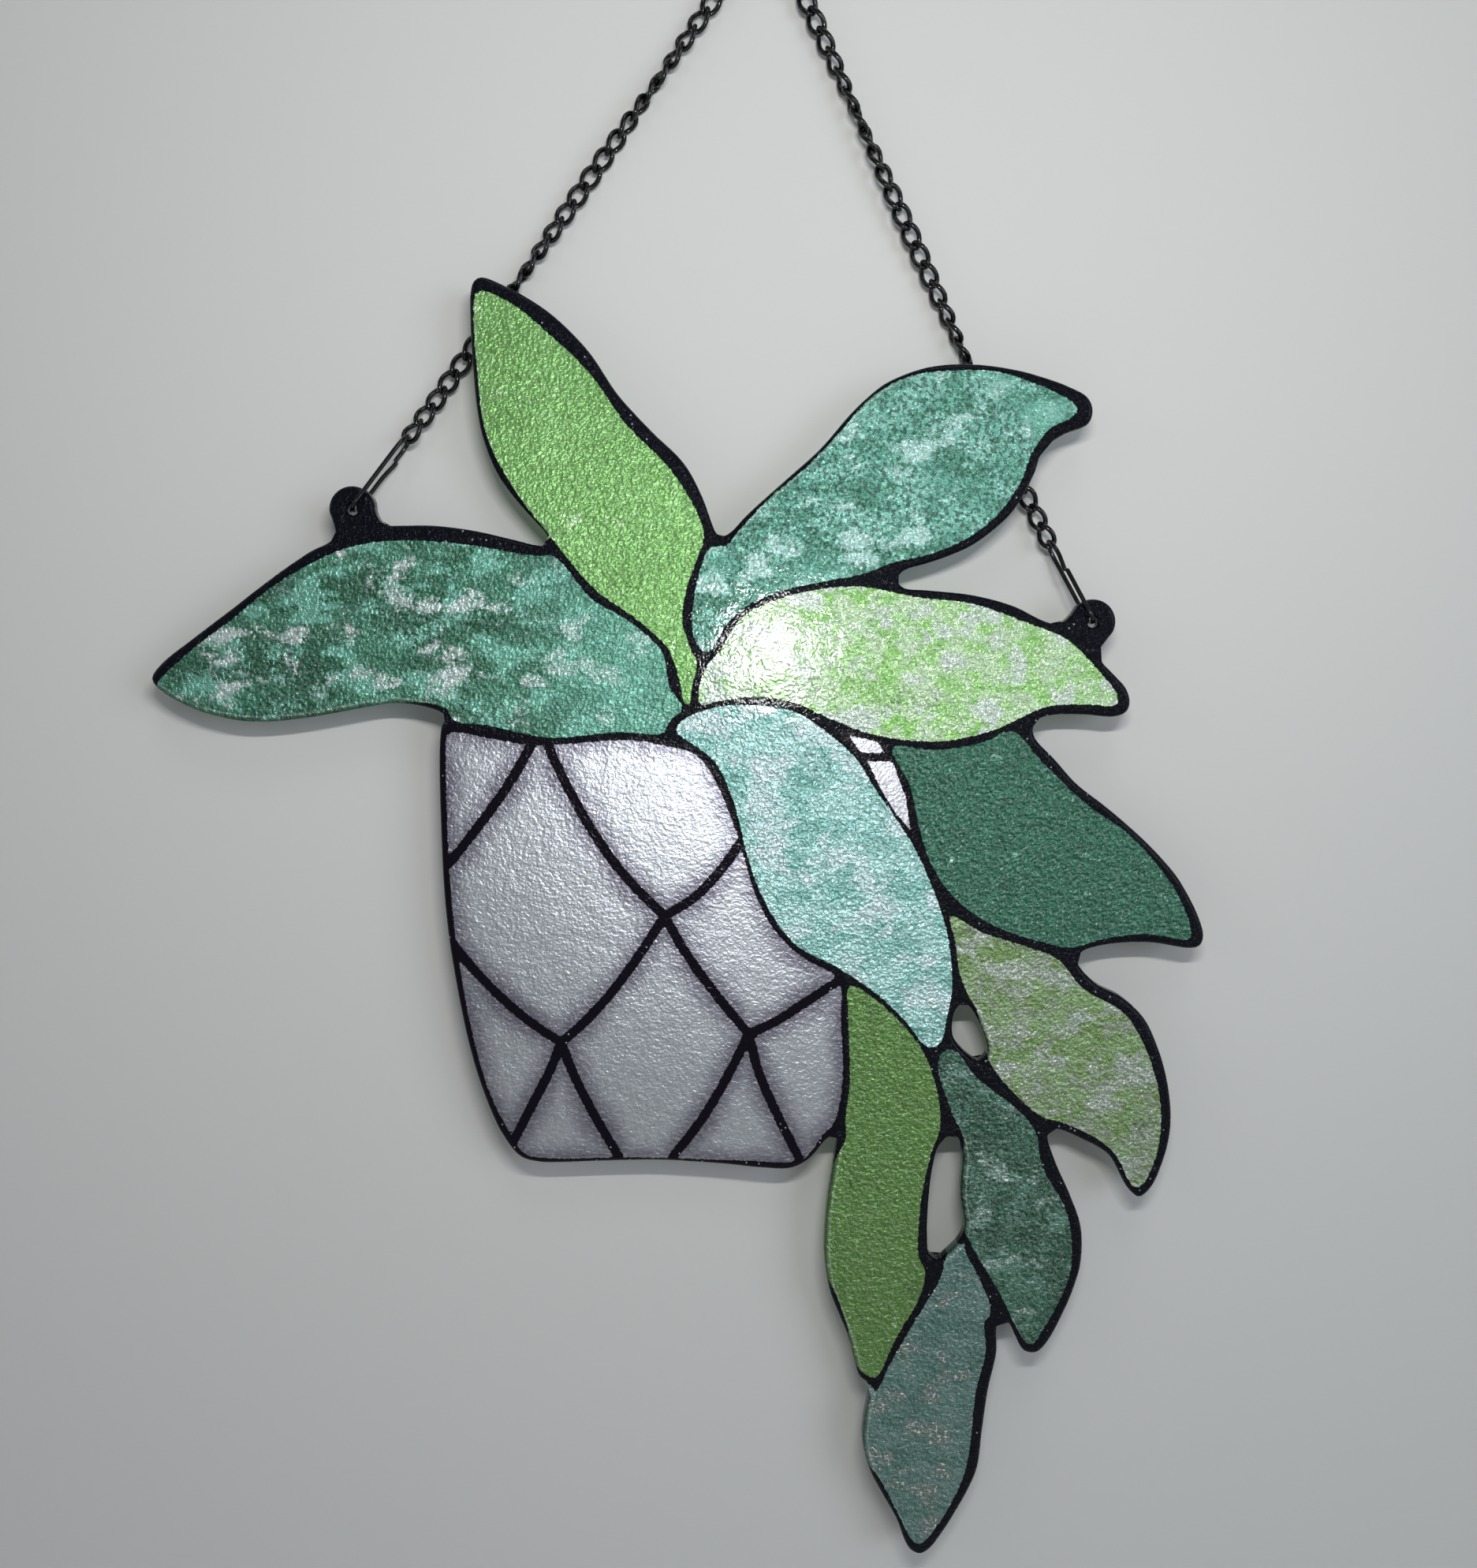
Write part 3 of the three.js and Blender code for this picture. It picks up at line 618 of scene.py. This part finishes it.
leafLook = {"frostShare": 0.0, "pepper": 0.0, "fade": 999.0, "ink": "#070a12", "metallic": 0.5}
paneLooks = {  # what each pane has beyond leafLook; from the place across that fade gives it pales to the right, a painted glow
    "leftLeaf": {"base": "#41846b", "deep": "#21644a", "pale": "#74baa5", "frost": "#baceca", "patch": 5.2,
                 "wide": 0.6, "deepShare": 0.5, "paleShare": 0.4, "frostShare": 0.24, "pepper": 0.4,
                 "crease": 0.19, "fade": -44.0, "seed": 3.0, "metallic": 0.57},
    "limeLeaf": {"base": "#81b96a", "deep": "#79af61", "pale": "#8cc576", "frost": "#b8dca8", "patch": 7.0,
                 "wide": 0.8, "deepShare": 0.3, "paleShare": 0.3, "crease": 0.14, "seed": 9.0,
                 "metallic": 0.7},
    "upperRightLeaf": {"base": "#66ab97", "deep": "#4a8d77", "pale": "#85c4b3", "frost": "#a6d2ca",
                       "patch": 5.0, "wide": 0.7, "deepShare": 0.4, "paleShare": 0.42, "frostShare": 0.26,
                       "pepper": 0.85, "crease": 0.15, "seed": 17.0, "metallic": 0.55},
    "rightLeaf": {"base": "#9ecc88", "deep": "#88c269", "pale": "#bad6b0", "frost": "#bccfc0", "patch": 5.0,
                  "wide": 0.75, "deepShare": 0.42, "paleShare": 0.5, "frostShare": 0.34, "crease": 0.17,
                  "seed": 23.0, "metallic": 0.6},
    "centreLeaf": {"base": "#86bab3", "deep": "#76afa6", "pale": "#a4d0cb", "frost": "#b4d0d1",
                   "patch": 5.6, "wide": 0.7, "deepShare": 0.45, "paleShare": 0.5, "frostShare": 0.34,
                   "crease": 0.16, "seed": 31.0, "metallic": 0.7},
    "potRimCorner": {"silver": "#c9ccd2", "shade": "#aeb0b8", "ink": "#0d0913", "metallic": 0.6},
    "potRimWedge": {"silver": "#c9ccd2", "shade": "#aeb0b8", "ink": "#0d0913", "metallic": 0.6},
    "darkLeaf": {"base": "#1e614a", "deep": "#1b5a44", "pale": "#25684f", "frost": "#5c957f", "patch": 3.0,
                 "wide": 1.0, "deepShare": 0.35, "paleShare": 0.3, "crease": 0.19, "seed": 41.0},
    "oliveLeaf": {"base": "#869580", "deep": "#6c8c50", "pale": "#7f9f6c", "frost": "#94a394", "patch": 5.0,
                  "wide": 0.7, "deepShare": 0.5, "paleShare": 0.42, "frostShare": 0.38, "crease": 0.19,
                  "seed": 47.0},
    "tealLeaf": {"base": "#3b6f5a", "deep": "#235641", "pale": "#5a8676", "frost": "#7d9a90", "patch": 4.8,
                 "wide": 0.7, "deepShare": 0.55, "paleShare": 0.34, "frostShare": 0.2, "pepper": 0.7,
                 "crease": 0.19, "seed": 53.0},
    "longLeaf": {"base": "#58823c", "deep": "#537c39", "pale": "#5f8943", "frost": "#86ad6c", "patch": 3.0,
                 "wide": 1.0, "deepShare": 0.3, "paleShare": 0.3, "crease": 0.15, "seed": 61.0},
    "bottomLeaf": {"base": "#557a72", "deep": "#486f66", "pale": "#61827b", "frost": "#6c7c75",
                   "patch": 4.8, "wide": 0.75, "deepShare": 0.45, "paleShare": 0.4, "frostShare": 0.3,
                   "pepper": 0.1, "crease": 0.16, "seed": 67.0},
    "pot": {"silver": "#b8bdc4", "shade": "#72707e", "ink": "#0d0913", "metallic": 0.95},
}
paint = {"roughness": 0.35, "coatRoughness": 0.06, "coatRelief": 0.09, "specular": 0.08,
         "silverRoughness": 0.37, "silverBumpReach": 0.00007, "coatOnBlack": 0.1, "coatOnColour": 0.34,
         "bumpReach": 0.00027}


def glassPane(name, look):
    made, tree, shader = newMaterial("printed" + name[0].upper() + name[1:])
    ink = addNode(tree, "ShaderNodeAttribute", attribute_name="ink").outputs["Fac"]
    rimDepth = addNode(tree, "ShaderNodeAttribute", attribute_name="rimDepth").outputs["Fac"]
    line = placeGroup(tree, printedLine, {"Ink": ink}, {"Ragged": black["ragged"]})
    relief = placeGroup(tree, hammered)
    if "silver" in look:
        tones = {"Silver": colour(look["silver"]), "Shade": colour(look["shade"])}
        tone = placeGroup(tree, silverPrint, {"Ink": ink, "Lit": relief["Lit"]}, tones)["Color"]
    else:
        tones = {key: colour(look[key.lower()]) for key in ("Base", "Deep", "Pale", "Frost")}
        shared = ("Patch", "Wide", "DeepShare", "PaleShare", "FrostShare", "Pepper", "Crease", "Fade", "Seed")
        shares = {key: look[key[0].lower() + key[1:]] for key in shared}
        tone = placeGroup(tree, mottling, {"Lit": relief["Lit"]}, {**tones, **shares})["Color"]
    tone = placeGroup(tree, paintedRimLight, {"Tone": tone, "Rim Depth": rimDepth})["Color"]
    dusty = blendColours(tree, line["Specks"], colour(look["ink"]), colour(black["speck"]))
    tree.links.new(blendColours(tree, line["Colour"], dusty, tone), shader.inputs["Base Color"])
    tree.links.new(maths(tree, "MULTIPLY", line["Colour"], look["metallic"]), shader.inputs["Metallic"])
    printRoughness = paint["silverRoughness" if "silver" in look else "roughness"]
    tree.links.new(softStep(tree, line["Colour"], 0, 1, black["roughness"], printRoughness),
                   shader.inputs["Roughness"])
    bumpReach = paint["silverBumpReach" if "silver" in look else "bumpReach"]
    bump = addNode(tree, "ShaderNodeBump", {"Height": relief["Height"]},
                   {"Strength": 1.0, "Distance": bumpReach})
    tree.links.new(bump.outputs["Normal"], shader.inputs["Normal"])
    smooth = tree.nodes.new("ShaderNodeNewGeometry").outputs["Normal"]
    between = fill(tree, addNode(tree, "ShaderNodeMix", data_type="VECTOR"),
                   {0: paint["coatRelief"], 4: smooth, 5: bump.outputs["Normal"]})[1]
    tree.links.new(addNode(tree, "ShaderNodeVectorMath", {0: between}, operation="NORMALIZE").outputs[0],
                   shader.inputs["Coat Normal"])
    shader.inputs["Specular IOR Level"].default_value = paint["specular"]
    tree.links.new(softStep(tree, line["Colour"], 0, 1, paint["coatOnBlack"], paint["coatOnColour"]),
                   shader.inputs["Coat Weight"])
    shader.inputs["Coat Roughness"].default_value = paint["coatRoughness"]
    return made


glassPanel = buildGlass()
for paneName in paneOutlines:
    glassPanel.data.materials.append(glassPane(paneName, {**leafLook, **paneLooks[paneName]}))
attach(glassPanel, "root")
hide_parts("glass_sheet")
print("glass panel printed")


# Black wire
wireFinish = {"black": "#030305", "worn": "#2c2c31", "roughness": (0.2, 0.32),
              "specular": 0.3, "coat": 0.4, "coatRoughness": 0.08}


def blackWire():
    made, tree, shader = newMaterial("blackWire")
    place = inMillimetres(tree)
    worn = softStep(tree, noise(tree, place, 1.3, 4, 0.7, flat=False), 0.66, 0.78)
    tree.links.new(blendColours(tree, worn, colour(wireFinish["black"]), colour(wireFinish["worn"])),
                   shader.inputs["Base Color"])
    rough = softStep(tree, noise(tree, place, 0.9, 2, flat=False), 0.3, 0.7, *wireFinish["roughness"])
    tree.links.new(rough, shader.inputs["Roughness"])
    bump = addNode(tree, "ShaderNodeBump", {"Height": noise(tree, place, 4.0, 2, flat=False)},
                   {"Strength": 0.15, "Distance": 0.00004})
    tree.links.new(bump.outputs["Normal"], shader.inputs["Normal"])
    shader.inputs["Specular IOR Level"].default_value = wireFinish["specular"]
    shader.inputs["Coat Weight"].default_value = wireFinish["coat"]
    shader.inputs["Coat Roughness"].default_value = wireFinish["coatRoughness"]
    return made


wireMaterial = blackWire()


# Open wire rings, long ovals that stand square to the sheet
rings = {
    "radius": 0.34, "sides": 14, "step": 0.3, "capRings": 4, "middleY": -3.4, "gap": 0.4,
    "chainAt": (13.5, 2.4),
    # along from the ear's hole towards the chain, and across from the sheet's middle to its back
    "line": [(0, 0.05), (0.12, -1), (0.55, -1.85), (1.35, -2.28), (2.9, -1.97), (6, -1.4), (9, -0.82),
             (11.4, -0.3), (12.7, 0.35), (13.35, 1.35), (13.5, 2.4), (13.15, 3.5), (12.2, 4.15), (11, 4.2),
             (9, 3.75), (6, 3.15), (3, 2.55), (1.6, 2.2), (0.6, 1.7), (0.1, 0.9)],
}
# Where each ring is open, as a place in the list, and how far its free end stands out sideways
ringEnds = {
    "Left": {"node": "end_ring_left", "ear": (-61.5, -82.3), "towards": (-53.6, -71.4),
             "openAt": 14, "aside": 0.3},
    "Right": {"node": "end_ring_right", "ear": (48.3, -98.8), "towards": (42.1, -86.8),
              "openAt": 6, "aside": -0.3},
}


def sweptWire(line, radius, sides, capRings):  # a round wire along the line, with rounded ends
    along = np.gradient(line, axis=0)
    along /= np.linalg.norm(along, axis=1)[:, None]
    side = np.cross(along[0], (0, 0, 1.0))
    side /= np.linalg.norm(side)
    stations = []
    for place, way in zip(line, along):
        side = side - way * side.dot(way)
        side /= np.linalg.norm(side)
        stations.append((place, radius, side, np.cross(way, side)))

    def cap(station, way):
        place, _, a, b = station
        angles = [math.pi / 2 * k / (capRings + 1) for k in range(1, capRings + 1)]
        return [(place + way * radius * math.sin(t), radius * math.cos(t), a, b) for t in angles]
    stations = cap(stations[0], -along[0])[::-1] + stations + cap(stations[-1], along[-1])
    turns = [2 * math.pi * k / sides for k in range(sides)]
    spots = [tuple(p + r * (math.cos(t) * a + math.sin(t) * b)) for p, r, a, b in stations for t in turns]
    faces = []
    for i in range(len(stations) - 1):
        for k in range(sides):
            here, beside = i * sides + k, i * sides + (k + 1) % sides
            faces.append((here, beside, beside + sides, here + sides))
    first, last = len(spots), len(spots) + 1
    spots += [tuple(line[0] - along[0] * radius), tuple(line[-1] + along[-1] * radius)]
    end = (len(stations) - 1) * sides
    for k in range(sides):
        faces.append((first, (k + 1) % sides, k))
        faces.append((last, end + k, end + (k + 1) % sides))
    return spots, faces


def solidFrom(name, spots, faces, material):
    mesh = bpy.data.meshes.new(name)
    mesh.from_pydata([tuple(c * toMetres for c in p) for p in spots], [], faces)
    mesh.polygons.foreach_set("use_smooth", [True] * len(faces))
    mesh.materials.append(material)
    mesh.update()
    return addToScene(name, mesh)


def ringPlace(end, along, across, aside=0.0):
    ear, towards = np.array(end["ear"]), np.array(end["towards"])
    way = (towards - ear) / np.linalg.norm(towards - ear)
    spot = ear + along * way + aside * np.array((way[1], -way[0]))
    return np.array((spot[0], rings["middleY"] + across, spot[1]))


for side, end in ringEnds.items():
    turned = rings["line"][end["openAt"]:] + rings["line"][:end["openAt"]]
    route = [ringPlace(end, *place, end["aside"] if i == 0 else 0.0) for i, place in enumerate(turned)]
    free = ringPlace(end, *turned[0])
    back = route[-1] - free
    route.append(free + rings["gap"] * back / np.linalg.norm(back))
    middleLine = smoothLine(route, rings["step"], False)
    spots, faces = sweptWire(middleLine, rings["radius"], rings["sides"], rings["capRings"])
    ring = solidFrom("wireRing" + side, spots, faces, wireMaterial)
    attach(ring, "root")
    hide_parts(end["node"])
print("rings made")


# The chain
chain = {
    "links": 62, "wire": 0.76, "gap": 0.08, "halfWidth": 1.12, "twist": math.pi / 4,
    "steps": 22, "sides": 9, "corner": 4.0, "topZ": 1.6, "settle": 6.0,
    # half turns of the chain about itself, by distance from each ring
    "leftTwist": [(9.5, 0), (26.5, 0.5), (60.5, 1.5)], "rightTwist": [(7, 0), (31.7, 0.5), (69.7, 1.5)],
    "halfTurnsAhead": 5, "turnOver": (0.42, 0.52),
}


def chainRoute():  # densely spaced places along the chain's line, and the distance at each
    top = np.array((0, 0, chain["topZ"]))
    runs = []
    for end in ringEnds.values():
        start = ringPlace(end, *rings["chainAt"])
        flat = start * (1, 0, 1)
        way = (top - flat) / np.linalg.norm(top - flat)
        runs.append((start, flat + way * chain["settle"], top - way * chain["corner"]))
    (a0, a1, a2), (b0, b1, b2) = runs
    share = np.linspace(0, 1, 200)[:, None]
    bend = (1 - share) ** 2 * a2 + 2 * share * (1 - share) * top + share ** 2 * b2
    parts = [a0 + (a1 - a0) * share, a1 + (a2 - a1) * share, bend,
             b2 + (b1 - b2) * share, b1 + (b0 - b1) * share]
    route = np.vstack([parts[0]] + [p[1:] for p in parts[1:]])
    run = np.concatenate([[0], np.cumsum(np.linalg.norm(np.diff(route, axis=0), axis=1))])
    return route, run


def halfTurns(twist, distance):
    (d0, t0), (d1, t1) = twist[:2] if distance < twist[1][0] else twist[1:]
    return t0 + (distance - d0) * (t1 - t0) / (d1 - d0)


def twistAt(distance, length):
    left = halfTurns(chain["leftTwist"], distance)
    right = chain["halfTurnsAhead"] - halfTurns(chain["rightTwist"], length - distance)
    low, high = chain["turnOver"]
    share = np.clip((distance / length - low) / (high - low), 0, 1)
    share = share * share * (3 - 2 * share)
    return math.pi * (left * (1 - share) + right * share)


def linkMesh(halfLength):  # lies along X: an oval of wire whose two ends are turned square to each other
    spots, faces = [], []
    steps, sides = chain["steps"], chain["sides"]

    def middle(angle):
        turn = chain["twist"] * math.cos(angle)
        side = chain["halfWidth"] * math.sin(angle)
        return np.array((halfLength * math.cos(angle), side * math.sin(turn), side * math.cos(turn)))
    for i in range(steps):
        angle = 2 * math.pi * i / steps
        place = middle(angle)
        way = middle(angle + 0.01) - middle(angle - 0.01)
        way /= np.linalg.norm(way)
        outward = place - way * place.dot(way)
        outward /= np.linalg.norm(outward)
        over = np.cross(outward, way)
        for k in range(sides):
            turn = 2 * math.pi * k / sides
            spots.append(place + chain["wire"] / 2 * (outward * math.cos(turn) + over * math.sin(turn)))
    for i in range(steps):
        for k in range(sides):
            a, b = i * sides + k, i * sides + (k + 1) % sides
            c, d = (i + 1) % steps * sides + (k + 1) % sides, (i + 1) % steps * sides + k
            faces.append((a, b, c, d))
    return solidFrom("chainLink", spots, faces, wireMaterial)


def chainTree(link):
    tree = bpy.data.node_groups.new("linksAlongChain", "GeometryNodeTree")
    tree.interface.new_socket("Route", in_out="INPUT", socket_type="NodeSocketGeometry")
    count = tree.interface.new_socket("Link Count", in_out="INPUT", socket_type="NodeSocketInt")
    shape = tree.interface.new_socket("Link", in_out="INPUT", socket_type="NodeSocketObject")
    finish = tree.interface.new_socket("Finish", in_out="INPUT", socket_type="NodeSocketMaterial")
    tree.interface.new_socket("Chain", in_out="OUTPUT", socket_type="NodeSocketGeometry")
    entry = tree.nodes.new("NodeGroupInput").outputs
    leave = tree.nodes.new("NodeGroupOutput").inputs
    places = addNode(tree, "GeometryNodeCurveToPoints",
                     {"Curve": entry["Route"], "Count": entry["Link Count"]}, mode="COUNT").outputs
    turned = addNode(tree, "FunctionNodeAxesToRotation",
                     {"Primary Axis": places["Tangent"], "Secondary Axis": places["Normal"]},
                     primary_axis="X", secondary_axis="Y").outputs["Rotation"]
    source = addNode(tree, "GeometryNodeObjectInfo", {"Object": entry["Link"]}).outputs["Geometry"]
    placed = addNode(tree, "GeometryNodeInstanceOnPoints",
                     {"Points": places["Points"], "Instance": source, "Rotation": turned}).outputs[0]
    real = addNode(tree, "GeometryNodeRealizeInstances", {"Geometry": placed}).outputs[0]
    done = addNode(tree, "GeometryNodeSetMaterial",
                   {"Geometry": real, "Material": entry["Finish"]}).outputs[0]
    tree.links.new(done, leave[0])
    return tree, {"count": count.identifier, "link": shape.identifier, "finish": finish.identifier}


def buildChain():
    route, run = chainRoute()
    length = run[-1]
    overlap = chain["wire"] + chain["gap"]
    spacing = (length + overlap) / chain["links"]
    first = (spacing - overlap) / 2
    link = linkMesh((spacing + overlap) / 2)
    curve = bpy.data.curves.new("chainRoute", "CURVE")
    curve.dimensions = "3D"
    curve.twist_mode = "Z_UP"
    spline = curve.splines.new("POLY")
    at = np.linspace(first, length - first, (chain["links"] - 1) * 8 + 1)
    spline.points.add(len(at) - 1)
    for point, distance in zip(spline.points, at):
        spot = [np.interp(distance, run, route[:, k]) * toMetres for k in range(3)]
        point.co = (*spot, 1)
        point.tilt = twistAt(distance, length)
    made = addToScene("curbChain", curve)
    tree, sockets = chainTree(link)
    links = made.modifiers.new("links", "NODES")
    links.node_group = tree
    links[sockets["count"]] = chain["links"]
    links[sockets["link"]] = link
    links[sockets["finish"]] = wireMaterial
    bpy.context.view_layer.update()
    solid = bpy.data.meshes.new_from_object(made.evaluated_get(bpy.context.evaluated_depsgraph_get()))
    bpy.data.objects.remove(made)
    bpy.data.objects.remove(link)
    solid.name = "curbChain"
    return addToScene("curbChain", solid)


curbChain = buildChain()
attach(curbChain, "root")
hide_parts(*[n for n in frame["nodes"] if n.startswith("link")])
print("chain made,", len(curbChain.data.polygons), "faces")


# Backdrop, floor, lights and camera
studio = {
    "wallY": 1.55, "wallHalf": 900, "floorZ": -320, "wallColour": "#c6c7c6", "floorColour": "#c4c4c2",
    "cameraAt": (-4.5, -225.4, -95.95), "cameraDown": 7.0, "lens": 36 * 1870 / 1873,
    "world": 0.2, "worldTint": (0.93, 0.95, 1.0, 1.0), "wallRoughness": 0.85, "wallSpecular": 0.2,
}


def plainMaterial(name, code, seeThroughBehind):
    made, tree, shader = newMaterial(name)
    shader.inputs["Base Color"].default_value = colour(code)
    shader.inputs["Roughness"].default_value = studio["wallRoughness"]
    shader.inputs["Specular IOR Level"].default_value = studio["wallSpecular"]
    if seeThroughBehind:  # so that the ornament's back can be looked at
        behind = tree.nodes.new("ShaderNodeNewGeometry").outputs["Backfacing"]
        clear = tree.nodes.new("ShaderNodeBsdfTransparent").outputs[0]
        both = addNode(tree, "ShaderNodeMixShader", {0: behind, 1: shader.outputs[0], 2: clear})
        tree.links.new(both.outputs[0], tree.nodes["Material Output"].inputs["Surface"])
    return made


def flatCard(name, corners, material):
    mesh = bpy.data.meshes.new(name)
    mesh.from_pydata([tuple(c * toMetres for c in p) for p in corners], [], [(0, 1, 2, 3)])
    mesh.materials.append(material)
    made = addToScene(name, mesh)
    return made


half, wallY, floorZ = studio["wallHalf"], studio["wallY"], studio["floorZ"]
wallCorners = [(-half, wallY, floorZ), (half, wallY, floorZ), (half, wallY, half), (-half, wallY, half)]
floorCorners = [(-half, -half, floorZ), (half, -half, floorZ), (half, half, floorZ), (-half, half, floorZ)]
wall = flatCard("wall", wallCorners, plainMaterial("wallPaint", studio["wallColour"], True))
wall.visible_shadow = False
flatCard("floor", floorCorners, plainMaterial("floorPaint", studio["floorColour"], False))

anyLamp = {"kind": "AREA", "aim": (0, 0, -120), "tint": (1, 1, 1), "seenBy": "both"}
lamps = {  # what each lamp has beyond anyLamp
    "keyLight": {"at": (18, -215, -14), "size": 90, "height": 6,
                 "power": 0.345, "tint": (1, 0.99, 0.96), "seenBy": "diffuse"},
    "rightLight": {"at": (900, -800, 60), "size": 700, "power": 4.0, "tint": (0.84, 0.91, 1)},
    "leftLight": {"at": (-1100, -520, 250), "size": 500, "power": 0.8},
    "topLight": {"at": (100, -500, 700), "size": 300, "power": 0.8},
    "flash": {"kind": "POINT", "at": (4.6, -225.4, -111.5), "size": 9, "power": 0.84, "seenBy": "glossy"},
    "backLight": {"at": (250, 900, 300), "size": 500, "power": 5.0},
}
for name, lamp in lamps.items():
    lamp = {**anyLamp, **lamp}
    light = bpy.data.lights.new(name, lamp["kind"])
    light.energy = lamp["power"]
    light.color = lamp["tint"]
    if lamp["kind"] == "AREA":
        light.shape = "RECTANGLE" if "height" in lamp else "DISK"
        light.size = lamp["size"] * toMetres
        light.size_y = lamp.get("height", lamp["size"]) * toMetres
    else:
        light.shadow_soft_size = lamp["size"] * toMetres
    placed = addToScene(name, light)
    placed.location = Vector(lamp["at"]) * toMetres
    placed.visible_glossy = lamp["seenBy"] != "diffuse"
    placed.visible_diffuse = lamp["seenBy"] != "glossy"
    placed.rotation_euler = (Vector(lamp["aim"]) - Vector(lamp["at"])).to_track_quat("-Z", "Y").to_euler()

world = bpy.data.worlds.new("studio")
bpy.context.scene.world = world
world.use_nodes = True
sky = world.node_tree.nodes["Background"].inputs
sky["Color"].default_value = studio["worldTint"]
sky["Strength"].default_value = studio["world"]

view = bpy.data.cameras.new("camera")
view.sensor_fit = "HORIZONTAL"
view.sensor_width = 36
view.lens = studio["lens"]
view.clip_start = 0.01
camera = addToScene("camera", view)
camera.location = Vector(studio["cameraAt"]) * toMetres
camera.rotation_euler = (math.radians(90 - studio["cameraDown"]), 0, 0)
bpy.context.scene.camera = camera
bpy.context.scene.view_settings.view_transform = "Standard"
print("studio set")
